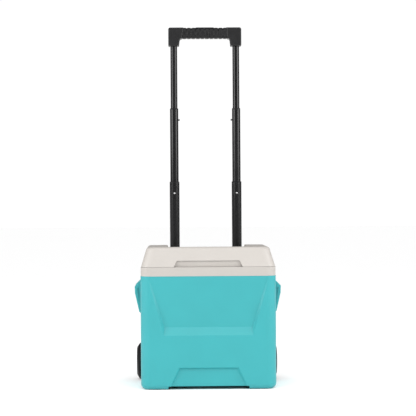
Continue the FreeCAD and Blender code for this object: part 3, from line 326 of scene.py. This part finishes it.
# --------------------------------------------------------------------- grip
def grip_sleeve():
    """The rubber sleeve: round ribs side by side and slanting ends."""
    low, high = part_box("grip_sleeve")
    middle = (low + high) / 2
    half_depth = (high.y - low.y) / 2
    half_height = (high.z - low.z) / 2
    ribs = 10
    steps = 12
    groove = 0.0020
    corner = 0.0095
    pitch = (high.x - low.x) / ribs
    points = [vert.co for vert in NODES["grip_sleeve"].data.vertices]
    top_half = max(abs(point.x) for point in points if point.z > high.z - 0.0005)

    form = bmesh.new()
    rings = []
    for k in range(ribs * steps + 1):
        across = 2 * ((k / steps) % 1.0) - 1
        sink = groove * (1 - math.sqrt(max(0.0, 1 - abs(across) ** 2.6)))
        x = low.x + pitch * k / steps
        plan = rounded_plan(half_depth - sink, half_height - sink, corner - sink)
        rings.append([(x, middle.y + u, middle.z + v) for u, v in plan])
    skin(form, rings)
    for sign in (-1, 1):
        slant = Vector((half_height * 2, 0, sign * (high.x - top_half)))
        outward = Vector((sign * slant.x, 0, abs(slant.z))).normalized()
        cut = bmesh.ops.bisect_plane(form, geom=form.verts[:] + form.edges[:] + form.faces[:],
                                     plane_co=Vector((sign * high.x, 0, low.z)), plane_no=outward,
                                     clear_outer=True)
        rim = [edge for edge in cut["geom_cut"] if isinstance(edge, bmesh.types.BMEdge)]
        bmesh.ops.contextual_create(form, geom=rim)
    return stand_in("ribbed_grip_sleeve", form, "grip_sleeve", 50)


def release_button():
    """The push button on top of the grip, domed along and across, with its short stem."""
    low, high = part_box("release_button")
    middle = (low + high) / 2
    half_length = (high.x - low.x) / 2
    half_width = (high.y - low.y) / 2
    sleeve_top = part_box("grip_sleeve")[1].z
    corner, draw_in, sink, stem_radius = 0.005, 0.0058, 0.0008, 0.003
    cap_foot = sleeve_top - 0.0045
    form = bmesh.new()
    foot_plan = rounded_plan(half_length, half_width, corner)
    rings = [[(middle.x + u, middle.y + v, cap_foot) for u, v in foot_plan]]
    steps = 9
    rise = high.z - sleeve_top
    for k in range(steps + 1):
        bend = math.pi / 2 * k / steps
        inset = draw_in * (1 - math.cos(bend))
        plan = rounded_plan(half_length - inset, half_width - inset, corner - 0.6 * inset)
        crown = [max(0.0, 1 - (u / half_length) ** 4) for u, _ in plan]
        lift = (rise + sink) * math.sin(bend)
        rings.append([(middle.x + u, middle.y + v, sleeve_top - sink + lift * c)
                      for (u, v), c in zip(plan, crown)])
    skin(form, rings)
    stem_length = cap_foot + 0.0002 - low.z
    lathe(form, [(stem_radius, 0), (stem_radius, stem_length)], Vector((middle.x, middle.y, low.z)), Z)
    return stand_in("domed_release_button", form, "release_button")


# ---------------------------------------------------------------- small ones
def lock_pin(node):
    """A sprung pin with a domed tip."""
    low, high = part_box(node)
    middle = (low + high) / 2
    spans = [high.x - low.x, high.y - low.y, high.z - low.z]
    if spans[0] > spans[1]:
        outward = X if middle.x < 0 else -X
        length = spans[0]
    else:
        outward = -Y
        length = spans[1]
    radius = spans[2] / 2
    foot = middle - outward * length / 2
    dome = [(radius * math.cos(a), length - radius * 0.55 * (1 - math.sin(a)))
            for a in (math.pi / 2 * k / 6 for k in range(7))]
    profile = [(radius, 0)] + dome[:-1] + [(radius * 0.12, length)]
    form = bmesh.new()
    lathe(form, profile, foot, outward)
    piece = stand_in(f"domed_{node}", form, node)
    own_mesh(piece)
    return piece


def coil_points(low, high, axis, turns, wire):
    """Points along a coil that fills a box; its axis is 0, 1 or 2 for X, Y or Z."""
    middle = (low + high) / 2
    across = [k for k in range(3) if k != axis]
    radius = (high[across[0]] - low[across[0]]) / 2 - wire
    steps = 18
    points = []
    for k in range(turns * steps + 1):
        angle = 2 * math.pi * k / steps
        point = middle.copy()
        point[across[0]] += radius * math.cos(angle)
        point[across[1]] += radius * math.sin(angle)
        point[axis] = low[axis] + wire + (high[axis] - low[axis] - 2 * wire) * k / (turns * steps)
        points.append(point)
    return points


def wire_mesh(form, points, wire):
    """A round wire through the points."""
    sides = 8
    rings = []
    for k, point in enumerate(points):
        ahead = points[min(k + 1, len(points) - 1)] - points[max(k - 1, 0)]
        turn = ahead.to_track_quat("Z", "Y").to_matrix()
        rings.append([point + turn @ Vector((wire * math.cos(a), wire * math.sin(a), 0))
                      for a in (2 * math.pi * j / sides for j in range(sides))])
    skin(form, rings)


def coil(name, node, ends, axis, turns, wire):
    """A real coil for a plain tube of a CAD node."""
    low, high = ends
    form = bmesh.new()
    wire_mesh(form, coil_points(low, high, axis, turns, wire), wire)
    piece = stand_in(name, form, node, 60)
    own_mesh(piece)


def lock_springs(stage):
    """The coils behind a stage's two lock pins: across the top tubes, back to front in the others."""
    node = f"{stage}_lock_springs"
    turns, wire = 7, 0.00025
    for (side, sign), (low, high) in zip(SIDES, solids(node)):
        name = f"coiled_{stage}_lock_spring_{side}"
        if stage == "upper":
            coil(name, node, (low, high), 0, turns, wire)
        else:
            coil(name, node, (low, high), 1, turns, wire)


def cross_screws(node):
    """Pan head screws with a cross recess, one for each solid of a CAD node."""
    head_radius, head_height, shank_radius = 0.0036, 0.0026, 0.00175
    crown_radius, slot_length, slot_width, slot_depth = 0.0008, 0.0042, 0.0009, 0.0022
    form = bmesh.new()
    for low, high in solids(node):
        middle = (low + high) / 2
        top = Vector((middle.x, high.y, middle.z))
        dome = []
        for k in range(7):
            bend = math.pi / 2 * k / 6
            dome.append((crown_radius + (head_radius - crown_radius) * math.cos(bend),
                         -head_height + head_height * 0.75 * math.sin(bend) + head_height * 0.25))
        profile = [(shank_radius * 0.5, low.y - high.y), (shank_radius, low.y - high.y + 0.0015),
                   (shank_radius, -head_height), (head_radius, -head_height)] + dome
        lathe(form, profile, top, Y)
    piece = stand_in(f"crossed_{node}", form, node)
    cutter = bmesh.new()
    for low, high in solids(node):
        middle = (low + high) / 2
        for long, wide in ((slot_length, slot_width), (slot_width, slot_length)):
            size = Matrix.Diagonal((long, slot_depth, wide, 1))
            place = Matrix.Translation((middle.x, high.y, middle.z))
            bmesh.ops.create_cube(cutter, size=1, matrix=place @ size)
    carve(piece, cutter)
    return piece


def carve(piece, cutter_form):
    """Cut the cutter's volume out of a piece's mesh."""
    mesh = bpy.data.meshes.new("cutter")
    cutter_form.to_mesh(mesh)
    cutter_form.free()
    cutter = bpy.data.objects.new("cutter", mesh)
    bpy.context.collection.objects.link(cutter)
    modifier = piece.modifiers.new("carve", "BOOLEAN")
    modifier.object = cutter
    modifier.operation = "DIFFERENCE"
    modifier.use_self = True
    bpy.context.view_layer.update()
    carved = bpy.data.meshes.new_from_object(piece.evaluated_get(bpy.context.evaluated_depsgraph_get()))
    piece.modifiers.clear()
    piece.data = carved
    bpy.data.objects.remove(cutter)


def small_pieces():
    for stage in ("lower", "middle", "upper"):
        for side, _ in SIDES:
            lock_pin(f"{stage}_lock_pin_{side}")
        lock_springs(stage)
    low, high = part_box("button_spring")
    coil("coiled_button_spring", "button_spring", (low, high), 2, turns=4, wire=0.0005)
    cross_screws("hinge_screws")
    cross_screws("bracket_screws")
    cross_screws("grip_screws")


# ------------------------------------------------------------------- studio
def area_light(name, place, aim, width, height, power):
    data = bpy.data.lights.new(name, "AREA")
    data.shape = "RECTANGLE"
    data.size = width
    data.size_y = height
    data.energy = power
    light = bpy.data.objects.new(name, data)
    bpy.context.collection.objects.link(light)
    light.location = place
    light.rotation_euler = (Vector(aim) - Vector(place)).to_track_quat("-Z", "Y").to_euler()
    return light


def sun_light(name, tilt, softness, energy):
    """A sun leaning by tilt degrees towards the front, as wide as softness degrees."""
    data = bpy.data.lights.new(name, "SUN")
    data.energy = energy
    data.angle = math.radians(softness)
    light = bpy.data.objects.new(name, data)
    bpy.context.collection.objects.link(light)
    light.rotation_euler.x = math.radians(tilt)


def surround():
    """A white backdrop behind, an even soft light all round and a dim room for reflections."""
    world = bpy.data.worlds.new("surround")
    world.use_nodes = True
    tree = world.node_tree
    sky = tree.nodes["Background"]
    sky.inputs["Strength"].default_value = 0.8
    room = tree.nodes.new("ShaderNodeBackground")
    room.inputs["Strength"].default_value = 0.12
    backdrop = tree.nodes.new("ShaderNodeBackground")
    backdrop.inputs["Strength"].default_value = 1.02
    for background in (sky, room, backdrop):
        background.inputs["Color"].default_value = (1, 1, 1, 1)
    ray = tree.nodes.new("ShaderNodeLightPath")
    glossy = tree.nodes.new("ShaderNodeMixShader")
    tree.links.new(ray.outputs["Is Glossy Ray"], glossy.inputs["Fac"])
    tree.links.new(sky.outputs["Background"], glossy.inputs[1])
    tree.links.new(room.outputs["Background"], glossy.inputs[2])
    seen = tree.nodes.new("ShaderNodeMixShader")
    tree.links.new(ray.outputs["Is Camera Ray"], seen.inputs["Fac"])
    tree.links.new(glossy.outputs["Shader"], seen.inputs[1])
    tree.links.new(backdrop.outputs["Background"], seen.inputs[2])
    tree.links.new(seen.outputs["Shader"], tree.nodes["World Output"].inputs["Surface"])
    bpy.context.scene.world = world


def studio():
    """A white floor, a soft light on each side and a very soft sun from above the front."""
    surround()
    reach = 30
    mesh = bpy.data.meshes.new("floor")
    mesh.from_pydata([(-reach, -reach, 0), (reach, -reach, 0), (reach, reach, 0), (-reach, reach, 0)],
                     [], [(0, 1, 2, 3)])
    floor = bpy.data.objects.new("floor", mesh)
    bpy.context.collection.objects.link(floor)
    floor.location.z = cad_box[0][2]
    floor.data.materials.append(plastic("paper_floor", (0.94, 0.94, 0.94), 0.9, 0.00001, 0, 0.003, 0.1))

    for side, sign in SIDES:
        area_light(f"{side}_side", (sign * 1.6, -0.75, 1.05), (0, 0, 0.5), width=1.3, height=0.9, power=20)
    sun_light("overhead", tilt=46, softness=60, energy=1.35)


def camera():
    """Level, from slightly left of the front, with a very slight roll."""
    front = Vector((0, cad_box[0][1], 0))
    distance = 3.5
    yaw = math.radians(1.3)
    roll = math.radians(-0.35)
    eye = front + Vector((-math.sin(yaw) * distance, -math.cos(yaw) * distance, 0.452))
    data = bpy.data.cameras.new("camera")
    data.sensor_width = 36
    data.lens = 121.8
    cam = bpy.data.objects.new("camera", data)
    bpy.context.collection.objects.link(cam)
    level = Matrix.Rotation(math.pi / 2, 4, "X")
    turn = Matrix.Rotation(-yaw, 4, "Z") @ level @ Matrix.Rotation(roll, 4, "Z")
    cam.matrix_world = Matrix.Translation(eye) @ turn
    bpy.context.scene.camera = cam


bpy.context.scene.view_settings.view_transform = "Standard"
dress_cad()
grip_sleeve()
release_button()
small_pieces()
studio()
camera()
